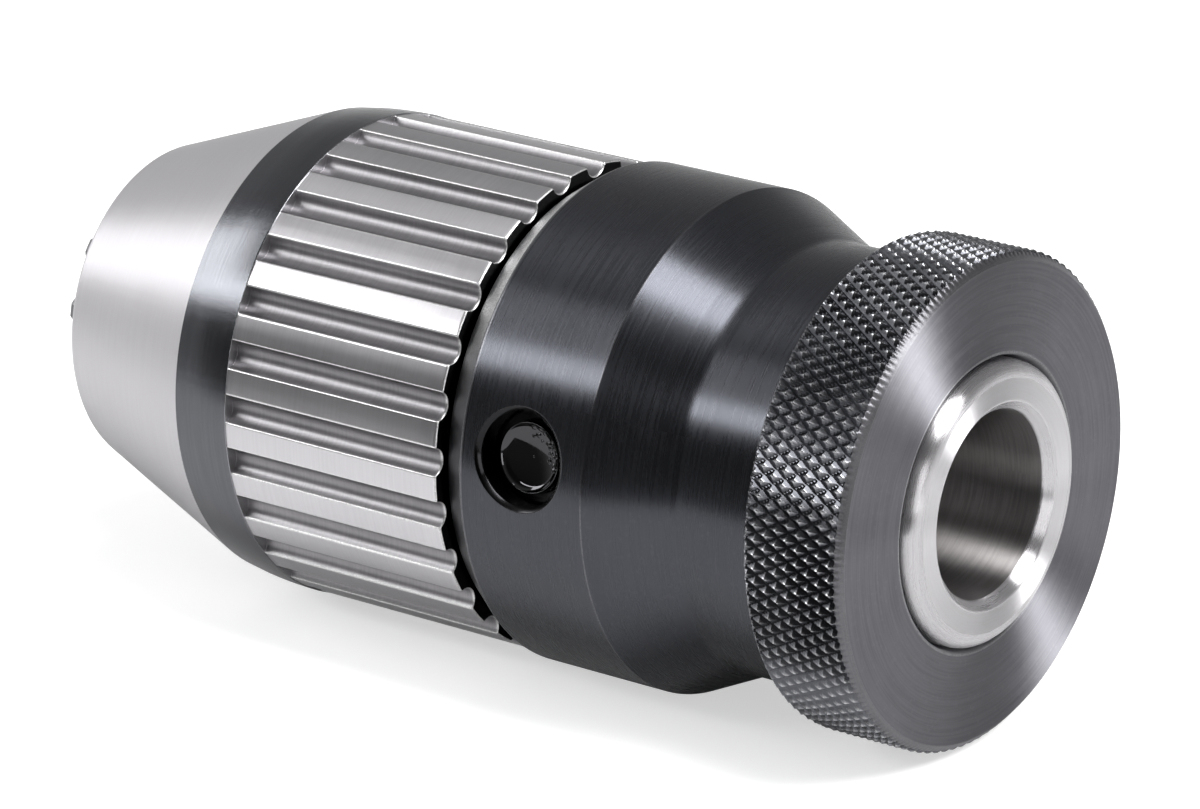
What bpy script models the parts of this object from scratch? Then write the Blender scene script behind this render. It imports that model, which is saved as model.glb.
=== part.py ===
"""Keyless drill chuck with a taper socket, as separate working pieces.

The axis lies along X.  The socket's mouth is at the origin and the nose points to -X.
Stations are distances in millimetres from the mouth towards the nose.
"""
import math

import bmesh
import bpy
from mathutils import Matrix, Vector

MM = 0.001

# Running and seating clearances between neighbouring pieces.
FIT_GAP = 0.3
FACE_GAP = 0.3
BALL_GAP = 0.15

# Hub: a short machine taper's socket, a web behind it and the boss with the feed thread.
SOCKET_R = 7.94
SOCKET_SLOPE = 0.03175
SOCKET_DEPTH = 26.0
SOCKET_CHAMFER = 0.8
HUB_FACE = 3.285
HUB_ROUND = 1.5
UNDERCUT = 0.5
WEB = 2.0
WEB_HOLE_R = 2.2
BOSS_STEP = 1.0
BOSS_WALL = 5.0

# Thrust race between the hub's flange and the sleeve's shoulder.
BALL_R = 1.5875
BALLS = 16
RACE_DEPTH = 0.4
CAGE_THICK = 1.2
CAGE_WIDTH = 4.5
FLANGE_THICK = 3.2

# Knurled holding ring fixed on the hub.
RING_REAR = 1.05
RING_WIDTH = 9.45
RING_STEP = 0.55
RING_CHAMFER = 0.5
RING_CHAMFER_R = 0.85

# Black sleeve, which runs on the hub: neck, cone, full body and chamfered front.
NECK_LENGTH = 8.5
NECK_BLEND = 1.9
NECK_FILLET = 0.8
NECK_STEP = 3.2
CONE_LENGTH = 5.1
SHOULDER_SETBACK = 2.6
SHOULDER_WALL = 2.7
SLEEVE_WALL = 2.2
SLEEVE_CHAMFER = 2.9
SLEEVE_LIP = 0.45
SPANNER_ANGLE = 171.8
SPANNER_R = 4.0
SPANNER_CHAMFER = 0.4
SPANNER_FROM_SEAT = 4.3
SPANNER_TO_HOOD = 8.7

# Hood: ground cone, rounded band, fluted grip and the spigot that screws into the sleeve.
HOOD_STEP = 0.35
GRIP_LENGTH = 22.4
BAND_LENGTH = 5.9
BAND_CROWN = 0.53
NOSE_LENGTH = 17.5
NOSE_ROUND = 1.0
CONE_ANGLE = math.radians(20.0)
FLUTES = 28
FLUTE_PHASE = 4.0
FLUTE_DEPTH = 1.0
FLUTE_ROUND = 1.25
FLUTE_RUNOUT = 0.35
SPIGOT_GAP = 0.7
SPIGOT_WALL = 1.6

# Jaw guide inside the hood.
GUIDE_RECESS = 0.5
GUIDE_WALL = 3.2
NOSE_WALL = 3.25
GUIDE_RIM = 5.6

# Jaws, drawn where the photograph shows them: partly closed, standing out of the nose.
JAW_ANGLES = (95.0, 215.0, 335.0)
JAW_WIDTH = 7.4
JAW_LENGTH = 30.5
JAW_REACH = 7.0
JAW_COVER = 2.58
JAW_GRIP_R = 1.5
JAW_OPEN_R = 5.0
JAW_SHUT_R = 0.35
JAW_HEIGHT = 8.6
JAW_LAND = 0.5
JAW_WEDGE = math.radians(58.0)
JAW_TIP_CHAMFER = 0.8
FOOT_THICK = 2.8
FOOT_NECK = 2.4
FOOT_NECK_WIDTH = 4.2

# Feed spindle with its slotted head.
HEAD_LIP = 4.0
SPINDLE_BORE_R = 1.6

# Lock screw at the bottom of the spanner hole.
LOCK_R = 2.7
LOCK_RISE = 0.2
LOCK_SHORT = 0.5
LOCK_HEX_R = 1.75
LOCK_HEX_DEPTH = 2.2

SLOPE = math.tan(CONE_ANGLE)

# Radii, from the socket outwards to the sleeve and back in to the spindle.
SOCKET_MOUTH_R = SOCKET_R + SOCKET_CHAMFER * (1 - SOCKET_SLOPE)
HUB_R = SOCKET_MOUTH_R + HUB_FACE
CAGE_INNER = HUB_R - UNDERCUT + FIT_GAP
RACE_R = CAGE_INNER + CAGE_WIDTH / 2
FLANGE_R = CAGE_INNER + CAGE_WIDTH
RACE_BORE = FLANGE_R + FIT_GAP
SLEEVE_BORE = RACE_BORE + SHOULDER_WALL
SLEEVE_R = SLEEVE_BORE + SLEEVE_WALL
NECK_R = SLEEVE_R - NECK_STEP
RING_R = SLEEVE_R - RING_STEP
HOOD_R = SLEEVE_R - HOOD_STEP
SPIGOT_R = SLEEVE_BORE - FIT_GAP
HOOD_BORE = SPIGOT_R - SPIGOT_WALL
GUIDE_R = HOOD_BORE - FIT_GAP
HEAD_BORE = GUIDE_R - GUIDE_WALL
HEAD_R = HEAD_BORE - FIT_GAP
BOSS_R = HUB_R - BOSS_STEP
THREAD_BORE = BOSS_R - BOSS_WALL
SHANK_R = THREAD_BORE - FIT_GAP
BAND_EDGE_R = HOOD_R - BAND_CROWN
NOSE_R = BAND_EDGE_R - NOSE_LENGTH * SLOPE
GUIDE_NOSE_R = NOSE_R - NOSE_WALL
GUIDE_BORE_R = GUIDE_NOSE_R - GUIDE_RIM

# Stations, from the mouth to the nose.
RING_FRONT = RING_REAR + RING_WIDTH
NECK_END = RING_FRONT + NECK_LENGTH
CONE_REAR = NECK_END + NECK_BLEND
SLEEVE_REAR = CONE_REAR + CONE_LENGTH
RACE_SHOULDER = NECK_END + SHOULDER_SETBACK
FLANGE_REAR = RACE_SHOULDER + 2 * (BALL_R + BALL_GAP) - 2 * RACE_DEPTH
SPIGOT_REAR = FLANGE_REAR + FLANGE_THICK + SPIGOT_GAP
SPANNER_STATION = SPIGOT_REAR + SPANNER_FROM_SEAT
HOOD_REAR = SPANNER_STATION + SPANNER_TO_HOOD
SLEEVE_CHAMFER_END = HOOD_REAR - SLEEVE_CHAMFER
BAND_REAR = HOOD_REAR + GRIP_LENGTH
BAND_FRONT = BAND_REAR + BAND_LENGTH
NOSE_FRONT = BAND_FRONT + NOSE_LENGTH
GUIDE_FRONT = NOSE_FRONT - GUIDE_RECESS
JAW_TIP = NOSE_FRONT + JAW_REACH
JAW_REAR = JAW_TIP - JAW_LENGTH
SHUT_TRAVEL = (JAW_GRIP_R - JAW_SHUT_R) / SLOPE
OPEN_TRAVEL = (JAW_OPEN_R - JAW_GRIP_R) / SLOPE
HEAD_REAR = JAW_REAR - HEAD_LIP
HEAD_FRONT = JAW_REAR + FOOT_THICK + FOOT_NECK - FACE_GAP
GUIDE_FLOOR = HEAD_FRONT + SHUT_TRAVEL + FACE_GAP
BOSS_FRONT = HEAD_REAR - OPEN_TRAVEL - FACE_GAP
SHANK_REAR = SOCKET_DEPTH + WEB + OPEN_TRAVEL + FACE_GAP

# What the jaws and the lock screw take from the pieces that hold them.
JAW_TIP_OUTER = GUIDE_NOSE_R - JAW_COVER - (JAW_TIP - GUIDE_FRONT) * SLOPE
FOOT_R = HOOD_BORE - FIT_GAP / 2 - (JAW_OPEN_R - JAW_GRIP_R)
LOCK_HOLE_R = LOCK_R + FIT_GAP
LOCK_TOP = SPIGOT_R + LOCK_RISE
LOCK_BOTTOM = HEAD_BORE + LOCK_SHORT


def clear_scene():
    for item in list(bpy.data.objects):
        bpy.data.objects.remove(item, do_unlink=True)


def collection(name):
    made = bpy.data.collections.new(name)
    bpy.context.scene.collection.children.link(made)
    return made


def material(name, colour, metallic, roughness):
    made = bpy.data.materials.new(name)
    made.use_nodes = True
    shader = made.node_tree.nodes["Principled BSDF"]
    shader.inputs["Base Color"].default_value = (*colour, 1.0)
    shader.inputs["Metallic"].default_value = metallic
    shader.inputs["Roughness"].default_value = roughness
    return made


clear_scene()
PARTS = collection("keyless_drill_chuck")
CUTTERS = collection("cutters")
ALONG = Matrix.Rotation(math.radians(-90.0), 4, "Y")


def add(name, mesh, home, matrix=None):
    item = bpy.data.objects.new(name, mesh)
    home.objects.link(item)
    if matrix is not None:
        item.matrix_world = matrix
    if home is CUTTERS:
        item.hide_render = True
        item.display_type = "WIRE"
    return item


def finish(item, colour, metallic, roughness):
    item.data.materials.append(material(item.name + "_finish", colour, metallic, roughness))
    return item


def turned(name, profile, steps, home=None):
    """A closed (station, radius) outline swept once round the chuck's axis."""
    mesh = bpy.data.meshes.new(name)
    points = [(radius * MM, 0.0, station * MM) for station, radius in profile]
    count = len(points)
    edges = [(i, (i + 1) % count) for i in range(count)]
    mesh.from_pydata(points, edges, [])
    item = add(name, mesh, home or PARTS, ALONG)
    screw = item.modifiers.new("turn", "SCREW")
    screw.axis = "Z"
    screw.steps = steps
    screw.render_steps = steps
    screw.use_merge_vertices = True
    screw.merge_threshold = 0.00001
    screw.use_smooth_shade = True
    return item


def frame_at(angle):
    """Axes of a piece set round the body: X to the nose, Z straight out, Y sideways."""
    turn = math.radians(angle)
    forward = Vector((-1.0, 0.0, 0.0))
    outward = Vector((0.0, math.cos(turn), math.sin(turn)))
    side = outward.cross(forward)
    return Matrix((forward, side, outward)).transposed().to_4x4()


def block(name, angle, centre, size, tilt=0.0, lean=0.0, home=None):
    """A box in the axes of one jaw: centre and size as (station, sideways, outward)."""
    bpy.ops.mesh.primitive_cube_add(size=1.0)
    item = bpy.context.active_object
    for old in list(item.users_collection):
        old.objects.unlink(item)
    (home or CUTTERS).objects.link(item)
    item.name = name
    item.data.name = name
    item.data.transform(Matrix.Diagonal((*(value * MM for value in size), 1.0)))
    place = Matrix.Translation(Vector(centre) * MM)
    turn = Matrix.Rotation(tilt, 4, "Y") @ Matrix.Rotation(lean, 4, "X")
    item.matrix_world = frame_at(angle) @ place @ turn
    if home is None:
        item.hide_render = True
        item.display_type = "WIRE"
    return item


def rod(name, angle, station, inner, outer, radius, end_radius=None, sides=24, home=None):
    """A round bar or cone standing straight out of the body at one station."""
    shape = bmesh.new()
    bmesh.ops.create_cone(
        shape,
        cap_ends=True,
        segments=sides,
        radius1=radius * MM,
        radius2=(radius if end_radius is None else end_radius) * MM,
        depth=(outer - inner) * MM,
    )
    mesh = bpy.data.meshes.new(name)
    shape.to_mesh(mesh)
    shape.free()
    centre = Vector((station, 0.0, (inner + outer) / 2)) * MM
    return add(name, mesh, home or CUTTERS, frame_at(angle) @ Matrix.Translation(centre))


def cut(item, cutter):
    step = item.modifiers.new("cut_" + cutter.name, "BOOLEAN")
    step.operation = "DIFFERENCE"
    step.solver = "EXACT"
    step.object = cutter


def flute_bars():
    """Every flute's round-nosed cutter in one mesh, each with a short run-out at the band."""
    shape = bmesh.new()
    start = HOOD_REAR - 2.0
    stop = BAND_REAR - FLUTE_RUNOUT / 2
    centre = HOOD_R - FLUTE_DEPTH + FLUTE_ROUND
    tip = FLUTE_ROUND - FLUTE_RUNOUT
    forward = Matrix.Rotation(math.radians(90.0), 4, "Y")
    for index in range(FLUTES):
        angle = FLUTE_PHASE + (index + 0.5) * 360.0 / FLUTES
        for first, last, radius in ((start, stop, FLUTE_ROUND), (stop, stop + FLUTE_RUNOUT, tip)):
            place = Matrix.Translation(Vector(((first + last) / 2, 0.0, centre)) * MM)
            bmesh.ops.create_cone(
                shape,
                cap_ends=False,
                segments=16,
                radius1=FLUTE_ROUND * MM,
                radius2=radius * MM,
                depth=(last - first) * MM,
                matrix=frame_at(angle) @ place @ forward,
            )
    bmesh.ops.remove_doubles(shape, verts=shape.verts, dist=0.000001)
    bmesh.ops.holes_fill(shape, edges=shape.edges, sides=0)
    bmesh.ops.recalc_face_normals(shape, faces=shape.faces)
    mesh = bpy.data.meshes.new("flute_bars")
    shape.to_mesh(mesh)
    shape.free()
    return add("flute_bars", mesh, CUTTERS)


def race(station, side):
    """Rounded ball track in a flat face, as profile points from small to large radius."""
    half = math.sqrt((2 * BALL_R - RACE_DEPTH) * RACE_DEPTH) + 0.15
    points = []
    for index in range(4):
        turn = math.pi * index / 3
        depth = RACE_DEPTH * math.sin(turn)
        points.append((station + side * depth, RACE_R - half * math.cos(turn)))
    return points


def hub_profile():
    floor = SOCKET_DEPTH + WEB
    taper = SOCKET_R - SOCKET_SLOPE * SOCKET_DEPTH
    rounded = []
    for index in range(5):
        turn = math.pi / 2 * index / 4
        rounded.append((0.7 * HUB_ROUND * (1 - math.sin(turn)), HUB_R - HUB_ROUND * (1 - math.cos(turn))))
    return [
        (BOSS_FRONT, THREAD_BORE + 0.5),
        (BOSS_FRONT, BOSS_R - 0.4),
        (BOSS_FRONT - 0.4, BOSS_R),
        (FLANGE_REAR + FLANGE_THICK, BOSS_R),
        (FLANGE_REAR + FLANGE_THICK, FLANGE_R),
        (FLANGE_REAR, FLANGE_R),
        *reversed(race(FLANGE_REAR, 1.0)),
        (FLANGE_REAR, HUB_R - UNDERCUT),
        (RACE_SHOULDER - FACE_GAP, HUB_R - UNDERCUT),
        (RACE_SHOULDER - FACE_GAP, HUB_R),
        *rounded,
        (0.0, SOCKET_MOUTH_R),
        (SOCKET_CHAMFER, SOCKET_R - SOCKET_SLOPE * SOCKET_CHAMFER),
        (SOCKET_DEPTH, taper),
        (SOCKET_DEPTH, WEB_HOLE_R),
        (floor, WEB_HOLE_R),
        (floor, THREAD_BORE),
        (BOSS_FRONT - 0.5, THREAD_BORE),
    ]


def ring_profile():
    bore = HUB_R + FIT_GAP
    return [
        (RING_FRONT, bore),
        (RING_FRONT, RING_R - RING_CHAMFER),
        (RING_FRONT - RING_CHAMFER, RING_R),
        (RING_REAR + RING_CHAMFER, RING_R),
        (RING_REAR, RING_R - RING_CHAMFER_R),
        (RING_REAR, bore + 0.3),
        (RING_REAR + 0.3, bore),
    ]


def sleeve_profile():
    bore = HUB_R + FIT_GAP
    rear = RING_FRONT + FACE_GAP
    front = HOOD_REAR - FACE_GAP
    seat = SPIGOT_REAR - FACE_GAP
    cone = (SLEEVE_R - NECK_R - NECK_FILLET) / (SLEEVE_REAR - CONE_REAR)
    fillet = []
    for index in range(1, 5):
        share = 1 - index / 4
        fillet.append((NECK_END + (CONE_REAR - NECK_END) * share, NECK_R + NECK_FILLET * share ** 2))
    return [
        (front, SLEEVE_BORE),
        (front, SLEEVE_BORE + SLEEVE_LIP),
        (SLEEVE_CHAMFER_END, SLEEVE_R),
        (SLEEVE_REAR, SLEEVE_R),
        (CONE_REAR, SLEEVE_R - cone * (SLEEVE_REAR - CONE_REAR)),
        *fillet,
        (rear + 0.3, NECK_R),
        (rear, NECK_R - 0.3),
        (rear, bore),
        (RACE_SHOULDER, bore),
        *race(RACE_SHOULDER, -1.0),
        (RACE_SHOULDER, RACE_BORE),
        (seat, RACE_BORE),
        (seat, SLEEVE_BORE),
    ]


def cage_profile():
    middle = (RACE_SHOULDER + FLANGE_REAR) / 2
    inner = CAGE_INNER
    outer = CAGE_INNER + CAGE_WIDTH
    front = middle + CAGE_THICK / 2
    rear = middle - CAGE_THICK / 2
    return [(front, inner), (front, outer), (rear, outer), (rear, inner)]


def guide_cone(station, gap=0.0):
    return GUIDE_NOSE_R + gap / math.cos(CONE_ANGLE) + (GUIDE_FRONT - station) * SLOPE


def hood_profile():
    nose = []
    for index in range(4):
        turn = (math.pi / 2 - CONE_ANGLE) * index / 3
        nose.append((
            NOSE_FRONT - NOSE_ROUND * (1 - math.cos(turn)),
            NOSE_R - NOSE_ROUND * (1 - math.sin(turn)) + 0.2,
        ))
    band = []
    for index in range(1, 5):
        share = 1 - index / 4
        band.append((BAND_REAR + (BAND_FRONT - BAND_REAR) * share, HOOD_R - BAND_CROWN * share ** 2))
    bend = GUIDE_FRONT - (HOOD_BORE - guide_cone(GUIDE_FRONT, FIT_GAP)) / SLOPE
    return [
        (NOSE_FRONT, guide_cone(GUIDE_FRONT, FIT_GAP) + 0.3),
        *nose,
        (BAND_FRONT, BAND_EDGE_R),
        *band,
        (HOOD_REAR + 0.2, HOOD_R),
        (HOOD_REAR, HOOD_R - 0.2),
        (HOOD_REAR, SPIGOT_R),
        (SPIGOT_REAR + 0.5, SPIGOT_R),
        (SPIGOT_REAR, SPIGOT_R - 0.5),
        (SPIGOT_REAR, HOOD_BORE),
        (bend, HOOD_BORE),
        (GUIDE_FRONT, guide_cone(GUIDE_FRONT, FIT_GAP)),
    ]


def guide_profile():
    bend = GUIDE_FRONT - (GUIDE_R - GUIDE_NOSE_R) / SLOPE
    return [
        (GUIDE_FRONT, GUIDE_BORE_R + 0.4),
        (GUIDE_FRONT, GUIDE_NOSE_R - 0.2),
        (GUIDE_FRONT - 0.4, guide_cone(GUIDE_FRONT - 0.4)),
        (bend, GUIDE_R),
        (SPIGOT_REAR + 0.3, GUIDE_R),
        (SPIGOT_REAR, GUIDE_R - 0.3),
        (SPIGOT_REAR, HEAD_BORE),
        (GUIDE_FLOOR, HEAD_BORE),
        (GUIDE_FLOOR, GUIDE_BORE_R),
        (GUIDE_FRONT - 0.4, GUIDE_BORE_R),
    ]


def spindle_profile():
    return [
        (HEAD_FRONT, SPINDLE_BORE_R),
        (HEAD_FRONT, HEAD_R - 0.4),
        (HEAD_FRONT - 0.4, HEAD_R),
        (HEAD_REAR + 0.4, HEAD_R),
        (HEAD_REAR, HEAD_R - 0.4),
        (HEAD_REAR, SHANK_R),
        (SHANK_REAR + 0.6, SHANK_R),
        (SHANK_REAR, SHANK_R - 0.6),
        (SHANK_REAR, SPINDLE_BORE_R),
    ]


def slanted(name, angle, spread, first, last, top_gap, home=None):
    """The jaw's sloping bar, or the same bar grown for the slot it slides in."""
    cosine = math.cos(CONE_ANGLE)
    sine = math.sin(CONE_ANGLE)
    outer = JAW_TIP * sine + JAW_TIP_OUTER * cosine + top_gap
    inner = JAW_TIP * sine + (JAW_TIP_OUTER - JAW_HEIGHT) * cosine - top_gap
    along_first = first * cosine - (JAW_TIP_OUTER + (JAW_TIP - first) * SLOPE) * sine
    along_last = last * cosine - (JAW_TIP_OUTER + (JAW_TIP - last) * SLOPE) * sine
    middle = (along_first + along_last) / 2
    height = (outer + inner) / 2
    centre = (middle * cosine + height * sine, 0.0, height * cosine - middle * sine)
    size = (along_last - along_first, JAW_WIDTH + spread, outer - inner)
    return block(name, angle, centre, size, tilt=CONE_ANGLE, home=home)


def jaw(number, angle):
    name = f"jaw_{number}"
    item = slanted(name, angle, 0.0, JAW_REAR - 6.0, JAW_TIP + 6.0, 0.0, home=PARTS)
    tag = name + "_"
    reach = 30.0
    cut(item, block(tag + "front", angle, (JAW_TIP + reach / 2, 0.0, 0.0), (reach, reach, 2 * reach)))
    cut(item, block(tag + "rear", angle, (JAW_REAR - reach / 2, 0.0, 10.0), (reach, reach, 2 * reach)))
    middle = (JAW_TIP + JAW_REAR) / 2
    cut(item, block(tag + "grip", angle, (middle, 0.0, JAW_GRIP_R - reach / 2), (2 * reach, reach, reach)))
    for side in (-1.0, 1.0):
        start = Vector((0.0, side * JAW_LAND / 2, JAW_GRIP_R))
        along = Vector((0.0, side * math.sin(JAW_WEDGE), math.cos(JAW_WEDGE)))
        away = Vector((0.0, side * math.cos(JAW_WEDGE), -math.sin(JAW_WEDGE)))
        centre = start + along * 6.0 + away * 5.0 + Vector((middle, 0.0, 0.0))
        tool = block(tag + ("left" if side < 0 else "right"), angle, centre, (2 * reach, 10.0, 20.0),
                     lean=-side * JAW_WEDGE)
        cut(item, tool)
    neck = JAW_REAR + FOOT_THICK + FOOT_NECK / 2
    for side in (-1.0, 1.0):
        offset = side * (FOOT_NECK_WIDTH / 2 + 5.0)
        tool = block(tag + f"neck_{'a' if side < 0 else 'b'}", angle, (neck, offset, 10.0),
                     (FOOT_NECK, 10.0, 30.0))
        cut(item, tool)
    for side in (-1.0, 1.0):
        corner = (JAW_TIP, side * JAW_WIDTH / 2, JAW_TIP_OUTER)
        tool = block(tag + f"tip_{'a' if side < 0 else 'b'}", angle, corner,
                     (2 * reach, JAW_TIP_CHAMFER * math.sqrt(2), 3.0), tilt=CONE_ANGLE,
                     lean=side * math.radians(45.0))
        cut(item, tool)
    cut(item, foot_trim)
    return item


def slot_floor(station):
    """Radius that the jaw's inner side reaches at this station when the jaws are shut."""
    return JAW_TIP_OUTER - JAW_HEIGHT + (JAW_TIP - station) * SLOPE - (JAW_GRIP_R - JAW_SHUT_R)


foot_trim = turned(
    "foot_trim",
    [(JAW_REAR + 14.0, FOOT_R), (JAW_REAR + 14.0, 26.0), (JAW_REAR - 8.0, 26.0), (JAW_REAR - 8.0, FOOT_R)],
    64,
    CUTTERS,
)

hub = turned("hub", hub_profile(), 44)
finish(hub, (0.62, 0.62, 0.61), 1.0, 0.28)

ring = turned("knurled_ring", ring_profile(), 72)
finish(ring, (0.05, 0.05, 0.055), 1.0, 0.35)

sleeve = turned("sleeve", sleeve_profile(), 72)
finish(sleeve, (0.02, 0.02, 0.022), 1.0, 0.25)
cut(sleeve, rod("spanner_hole", SPANNER_ANGLE, SPANNER_STATION, SLEEVE_BORE - 2 * FIT_GAP, SLEEVE_R + 2.0,
                SPANNER_R, sides=24))
rim = SPANNER_R + SPANNER_CHAMFER
cut(sleeve, rod("spanner_rim", SPANNER_ANGLE, SPANNER_STATION, SLEEVE_R - 2 * SPANNER_CHAMFER,
                SLEEVE_R + SPANNER_CHAMFER, SPANNER_R - 2 * SPANNER_CHAMFER, rim + SPANNER_CHAMFER / 2,
                sides=24))

hood = turned("hood", hood_profile(), 84)
finish(hood, (0.66, 0.65, 0.64), 1.0, 0.3)
cut(hood, flute_bars())
cut(hood, rod("lock_hole_hood", SPANNER_ANGLE, SPANNER_STATION, HOOD_BORE - 3.0, SPIGOT_R + 1.5, LOCK_HOLE_R))

guide = turned("jaw_guide", guide_profile(), 48)
finish(guide, (0.45, 0.45, 0.45), 1.0, 0.4)
cut(guide, rod("lock_hole_guide", SPANNER_ANGLE, SPANNER_STATION, HEAD_BORE - 3.0, GUIDE_R + 1.5, LOCK_HOLE_R))
for number, angle in enumerate(JAW_ANGLES, 1):
    slot = slanted(f"slot_{number}", angle, 2 * FIT_GAP, GUIDE_FLOOR - 12.0, NOSE_FRONT + 4.0, FIT_GAP)
    cut(guide, slot)
    rear = JAW_REAR - OPEN_TRAVEL - FACE_GAP
    front = GUIDE_FLOOR - 10.0
    window = block(f"window_{number}", angle, ((rear + front) / 2, 0.0, (HEAD_BORE + GUIDE_R) / 2),
                   (front - rear, JAW_WIDTH + 2 * FIT_GAP, GUIDE_R - HEAD_BORE + 4.0))
    cut(guide, window)

spindle = turned("spindle", spindle_profile(), 36)
finish(spindle, (0.5, 0.5, 0.5), 1.0, 0.35)


for number, angle in enumerate(JAW_ANGLES, 1):
    wide_rear = JAW_REAR - FACE_GAP
    wide_front = JAW_REAR + FOOT_THICK + FACE_GAP
    inner = slot_floor(wide_front) - 2 * FIT_GAP
    outer = HEAD_R + 2.0
    cut(spindle, block(f"foot_slot_{number}", angle, ((wide_rear + wide_front) / 2, 0.0, (inner + outer) / 2),
                       (wide_front - wide_rear, JAW_WIDTH + 2 * FIT_GAP, outer - inner)))
    narrow_rear = wide_front - 1.0
    narrow_front = HEAD_FRONT + 1.0
    inner = slot_floor(HEAD_FRONT) - 2 * FIT_GAP
    outer = HEAD_R + 3.0
    cut(spindle, block(f"neck_slot_{number}", angle, ((narrow_rear + narrow_front) / 2, 0.0, (inner + outer) / 2),
                       (narrow_front - narrow_rear, FOOT_NECK_WIDTH + 2 * FIT_GAP, outer - inner)))

for number, angle in enumerate(JAW_ANGLES, 1):
    finish(jaw(number, angle), (0.4, 0.4, 0.41), 1.0, 0.3)

screw = rod("lock_screw", SPANNER_ANGLE, SPANNER_STATION, LOCK_BOTTOM, LOCK_TOP, LOCK_R, home=PARTS)
finish(screw, (0.03, 0.03, 0.03), 1.0, 0.3)
cut(screw, rod("lock_hex", SPANNER_ANGLE, SPANNER_STATION, LOCK_TOP - LOCK_HEX_DEPTH, LOCK_TOP + 1.0,
               LOCK_HEX_R, sides=6))

cage = turned("ball_cage", cage_profile(), 48)
finish(cage, (0.75, 0.55, 0.25), 1.0, 0.35)
race_middle = (RACE_SHOULDER + FLANGE_REAR) / 2
for number in range(1, BALLS + 1):
    angle = (number - 1) * 360.0 / BALLS
    place = frame_at(angle) @ Matrix.Translation(Vector((race_middle, 0.0, RACE_R)) * MM)
    shape = bmesh.new()
    bmesh.ops.create_cone(shape, cap_ends=True, segments=10, radius1=(BALL_R + BALL_GAP) * MM,
                          radius2=(BALL_R + BALL_GAP) * MM, depth=(CAGE_THICK + 2.0) * MM)
    mesh = bpy.data.meshes.new(f"pocket_{number:02d}")
    shape.to_mesh(mesh)
    shape.free()
    pocket = add(mesh.name, mesh, CUTTERS, place @ Matrix.Rotation(math.radians(90.0), 4, "Y"))
    cut(cage, pocket)
    shape = bmesh.new()
    bmesh.ops.create_uvsphere(shape, u_segments=10, v_segments=6, radius=BALL_R * MM)
    mesh = bpy.data.meshes.new(f"ball_{number:02d}")
    shape.to_mesh(mesh)
    shape.free()
    ball = add(mesh.name, mesh, PARTS, place)
    finish(ball, (0.8, 0.8, 0.8), 1.0, 0.1)
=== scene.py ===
# %% [markdown]
# # Keyless drill chuck
# The chuck lies on its side on a pale table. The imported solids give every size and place, and
# this file dresses them: turned steel pieces drawn again as smooth surfaces, a diamond knurl,
# milled flutes, and finishes for ground steel, black oxide and oil.
# The axis of the chuck is X, with the taper socket at the origin and the nose towards -X.
# Stations are distances in millimetres from the socket's mouth towards the nose.

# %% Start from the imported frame
import math

import bmesh
import bpy
import numpy as np
from mathutils import Euler, Matrix, Vector


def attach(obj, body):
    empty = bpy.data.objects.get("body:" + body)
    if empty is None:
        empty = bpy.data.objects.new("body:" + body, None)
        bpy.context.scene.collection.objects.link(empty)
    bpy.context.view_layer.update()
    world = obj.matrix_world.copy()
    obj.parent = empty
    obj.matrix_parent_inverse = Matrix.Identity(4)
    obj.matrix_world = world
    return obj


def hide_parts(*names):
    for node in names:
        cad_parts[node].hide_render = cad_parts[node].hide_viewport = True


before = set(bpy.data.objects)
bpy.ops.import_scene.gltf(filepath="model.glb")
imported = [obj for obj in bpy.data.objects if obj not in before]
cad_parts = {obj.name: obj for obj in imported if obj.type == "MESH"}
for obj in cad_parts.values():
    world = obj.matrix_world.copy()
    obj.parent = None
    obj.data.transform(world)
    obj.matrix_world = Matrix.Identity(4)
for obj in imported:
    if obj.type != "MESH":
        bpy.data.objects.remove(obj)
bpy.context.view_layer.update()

# %% [markdown]
# ## Camera
# The photograph was taken with a long lens from beside the chuck, nearer the socket's end and a
# little above the axis. A camera and the circles of the body were fitted together, which gave
# this place, these two angles and this focal length. A long lens at this distance keeps the
# near ring only a little larger than the far nose, as in the picture.

# %% Camera at the photograph's viewpoint
AZIMUTH = math.radians(36.93)
ELEVATION = math.radians(19.25)
LENS_MM = 194.14


def add_object(name, data):
    """An object that shows this data, linked into the scene."""
    made = bpy.data.objects.new(name, data)
    bpy.context.scene.collection.objects.link(made)
    return made


camera_data = bpy.data.cameras.new("camera")
camera_data.sensor_width = 36.0
camera_data.lens = LENS_MM
camera_data.clip_start = 0.01
camera = add_object("camera", camera_data)
camera.location = (0.26930, -0.41168, 0.18017)
camera.rotation_euler = Euler((math.pi / 2 - ELEVATION, 0.0, AZIMUTH))
bpy.context.scene.camera = camera
bpy.context.scene.view_settings.view_transform = "Standard"
print(f"camera: {LENS_MM} mm lens, {camera.location.length * 1000:.0f} mm from the socket's mouth")

# %% [markdown]
# ## Meshes from arrays
# A mesh is a list of points, the faces that join them and what each carries, and whole numpy
# arrays fill it at once. The turned pieces carry a UV map in millimetres, U round the body and
# V along the profile, so that turning marks can follow the surface, and an attribute that
# marks the rounded edges, where steel wears bright, and on the sleeve's chamfer a painted highlight.

# %% A grid of points becomes a mesh
MM = 0.001
MM3_IN_CM3 = 1000.0


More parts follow.
